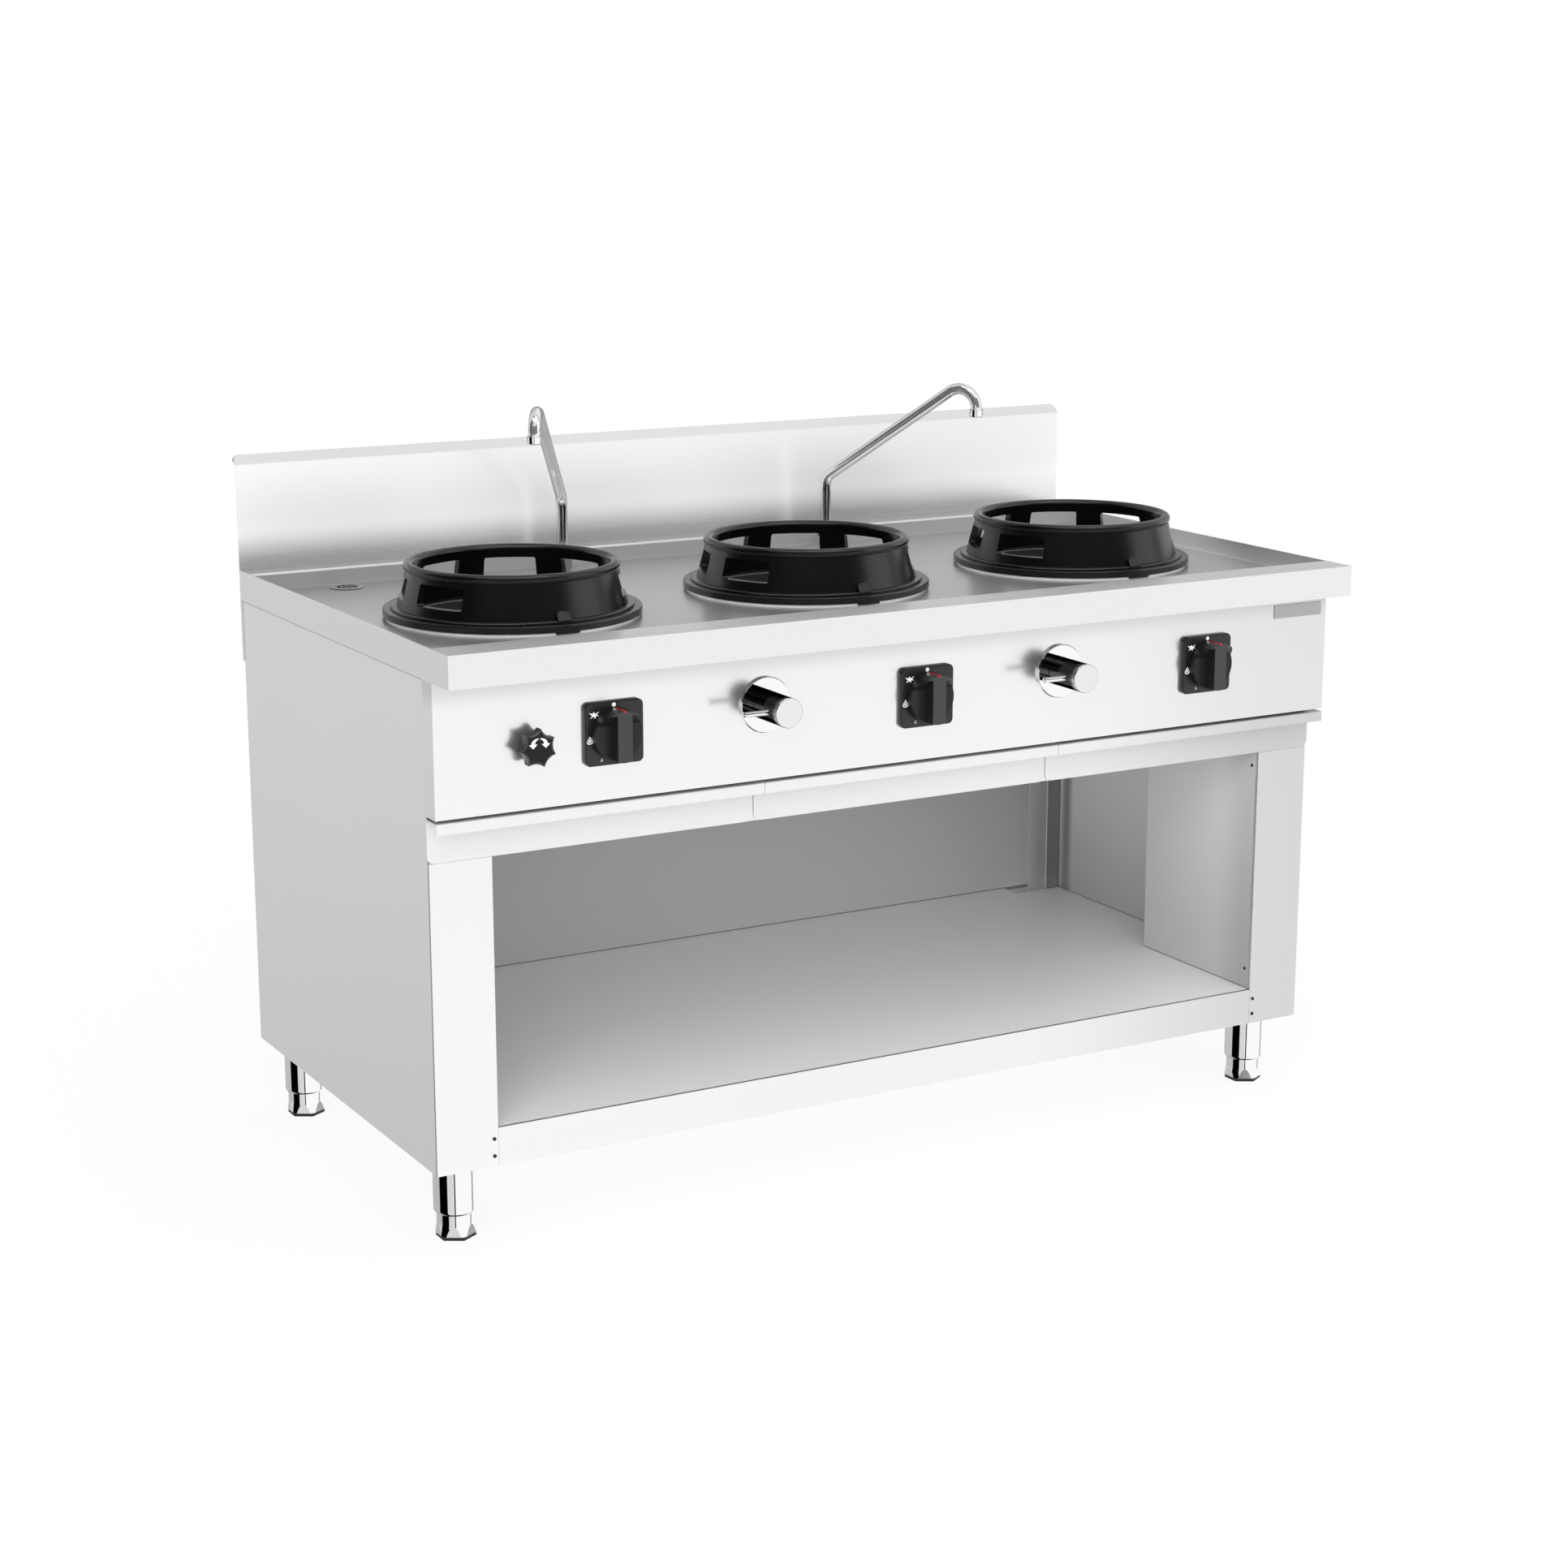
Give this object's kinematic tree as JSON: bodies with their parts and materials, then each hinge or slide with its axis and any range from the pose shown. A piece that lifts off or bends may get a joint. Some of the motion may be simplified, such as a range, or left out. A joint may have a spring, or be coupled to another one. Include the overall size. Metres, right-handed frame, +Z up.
{
  "type": "wok range",
  "caption": "Stainless wok range with cast-iron wok rings in a sunken worktop, swivel water spouts, splashback, control panel, drip trays and an open stand on levelling legs.",
  "frame": {"origin": "on the floor, below the middle of the range's bounding box", "axes": "+X across the width to the right seen from the front, -Y out of the front, +Z up"},
  "size_m": [1.5, 0.826, 1.1146],
  "materials": {
    "stainless": "satin",
    "cast_iron": "satin",
    "chrome": "polished",
    "black_plastic": "satin",
    "brass": "satin",
    "pipe_steel": "satin",
    "rubber": "matte",
    "screw_steel": "satin"
  },
  "bodies": {
    "range": {"back_panel": "stainless", "burner_bowls": "cast_iron", "burner_brackets": "stainless", "burner_collars": "chrome", "burner_heads": "cast_iron", "control_panel": "stainless", "drain_strainer": "stainless", "drain_tail": "stainless", "gas_manifold": "pipe_steel", "gas_pipes": "brass", "gas_plates": "black_plastic", "gas_valves": "brass", "leg_tubes": "chrome", "pilot_burners": "brass", "post_left": "stainless", "post_right": "stainless", "rear_angles": "stainless", "screws": "screw_steel", "side_panel_left": "stainless", "side_panel_right": "stainless", "side_rails": "stainless", "splashback": "stainless", "spout_nuts": "chrome", "tap_rosettes": "chrome", "tray_frame": "stainless", "undershelf": "stainless", "water_inlet": "brass", "water_pipes": "brass", "water_valves": "brass", "worktop": "stainless"},
    "wok_ring_left": {"wok_ring_left": "cast_iron"},
    "gas_stem_left": {"gas_stem_left": "brass"},
    "gas_knob_left": {"gas_knob_left": "black_plastic"},
    "drip_tray_left": {"drip_tray_left": "stainless"},
    "wok_ring_middle": {"wok_ring_middle": "cast_iron"},
    "gas_stem_middle": {"gas_stem_middle": "brass"},
    "gas_knob_middle": {"gas_knob_middle": "black_plastic"},
    "drip_tray_middle": {"drip_tray_middle": "stainless"},
    "wok_ring_right": {"wok_ring_right": "cast_iron"},
    "gas_stem_right": {"gas_stem_right": "brass"},
    "gas_knob_right": {"gas_knob_right": "black_plastic"},
    "drip_tray_right": {"drip_tray_right": "stainless"},
    "spout_left": {"spout_left": "chrome", "nozzle_left": "chrome"},
    "tap_left": {"tap_handle_left": "chrome", "tap_lever_left": "chrome"},
    "spout_right": {"spout_right": "chrome", "nozzle_right": "chrome"},
    "tap_right": {"tap_handle_right": "chrome", "tap_lever_right": "chrome"},
    "star_knob": {"star_knob": "black_plastic"},
    "foot_front_left": {"foot_front_left": "chrome", "pad_front_left": "rubber"},
    "foot_front_right": {"foot_front_right": "chrome", "pad_front_right": "rubber"},
    "foot_rear_left": {"foot_rear_left": "chrome", "pad_rear_left": "rubber"},
    "foot_rear_right": {"foot_rear_right": "chrome", "pad_rear_right": "rubber"}
  },
  "joints": [
    {"name": "wok_ring_left_lift", "type": "slide", "parent": "range", "child": "wok_ring_left", "axis": [0, 0, 1], "range_m": [0, 0.1]},
    {"name": "wok_ring_middle_lift", "type": "slide", "parent": "range", "child": "wok_ring_middle", "axis": [0, 0, 1], "range_m": [0, 0.1]},
    {"name": "wok_ring_right_lift", "type": "slide", "parent": "range", "child": "wok_ring_right", "axis": [0, 0, 1], "range_m": [0, 0.1]},
    {"name": "gas_push_left", "type": "slide", "parent": "range", "child": "gas_stem_left", "axis": [0, 1, 0], "range_m": [0, 0.003], "stiffness_N_per_m": 1500, "springref_m": -0.002},
    {"name": "gas_turn_left", "type": "hinge", "parent": "gas_stem_left", "child": "gas_knob_left", "pos_m": [-0.487, -0.343, 0.721], "axis": [0, -1, 0], "range_deg": [0, 156]},
    {"name": "gas_push_middle", "type": "slide", "parent": "range", "child": "gas_stem_middle", "axis": [0, 1, 0], "range_m": [0, 0.003], "stiffness_N_per_m": 1500, "springref_m": -0.002},
    {"name": "gas_turn_middle", "type": "hinge", "parent": "gas_stem_middle", "child": "gas_knob_middle", "pos_m": [0.015, -0.343, 0.721], "axis": [0, -1, 0], "range_deg": [0, 156]},
    {"name": "gas_push_right", "type": "slide", "parent": "range", "child": "gas_stem_right", "axis": [0, 1, 0], "range_m": [0, 0.003], "stiffness_N_per_m": 1500, "springref_m": -0.002},
    {"name": "gas_turn_right", "type": "hinge", "parent": "gas_stem_right", "child": "gas_knob_right", "pos_m": [0.517, -0.343, 0.721], "axis": [0, -1, 0], "range_deg": [0, 156]},
    {"name": "tap_turn_left", "type": "hinge", "parent": "range", "child": "tap_left", "pos_m": [-0.249, -0.343, 0.735], "axis": [0, 1, 0], "range_deg": [0, 90]},
    {"name": "tap_turn_right", "type": "hinge", "parent": "range", "child": "tap_right", "pos_m": [0.249, -0.343, 0.735], "axis": [0, 1, 0], "range_deg": [0, 90]},
    {"name": "star_turn", "type": "hinge", "parent": "range", "child": "star_knob", "pos_m": [-0.609, -0.343, 0.7155], "axis": [0, -1, 0], "range_deg": [0, 270]},
    {"name": "spout_swing_left", "type": "hinge", "parent": "range", "child": "spout_left", "pos_m": [-0.241, 0.33, 0.834], "axis": [0, 0, 1], "range_deg": [-65, 131]},
    {"name": "spout_swing_right", "type": "hinge", "parent": "range", "child": "spout_right", "pos_m": [0.241, 0.33, 0.834], "axis": [0, 0, 1], "range_deg": [-126, 70]},
    {"name": "drip_tray_left_slide", "type": "slide", "parent": "range", "child": "drip_tray_left", "axis": [0, -1, 0], "range_m": [0, 0.4]},
    {"name": "drip_tray_middle_slide", "type": "slide", "parent": "range", "child": "drip_tray_middle", "axis": [0, -1, 0], "range_m": [0, 0.4]},
    {"name": "drip_tray_right_slide", "type": "slide", "parent": "range", "child": "drip_tray_right", "axis": [0, -1, 0], "range_m": [0, 0.4]},
    {"name": "foot_front_left_screw", "type": "slide", "parent": "range", "child": "foot_front_left", "axis": [0, 0, -1], "range_m": [0, 0.03]},
    {"name": "foot_front_right_screw", "type": "slide", "parent": "range", "child": "foot_front_right", "axis": [0, 0, -1], "range_m": [0, 0.03]},
    {"name": "foot_rear_left_screw", "type": "slide", "parent": "range", "child": "foot_rear_left", "axis": [0, 0, -1], "range_m": [0, 0.03]},
    {"name": "foot_rear_right_screw", "type": "slide", "parent": "range", "child": "foot_rear_right", "axis": [0, 0, -1], "range_m": [0, 0.03]}
  ]
}
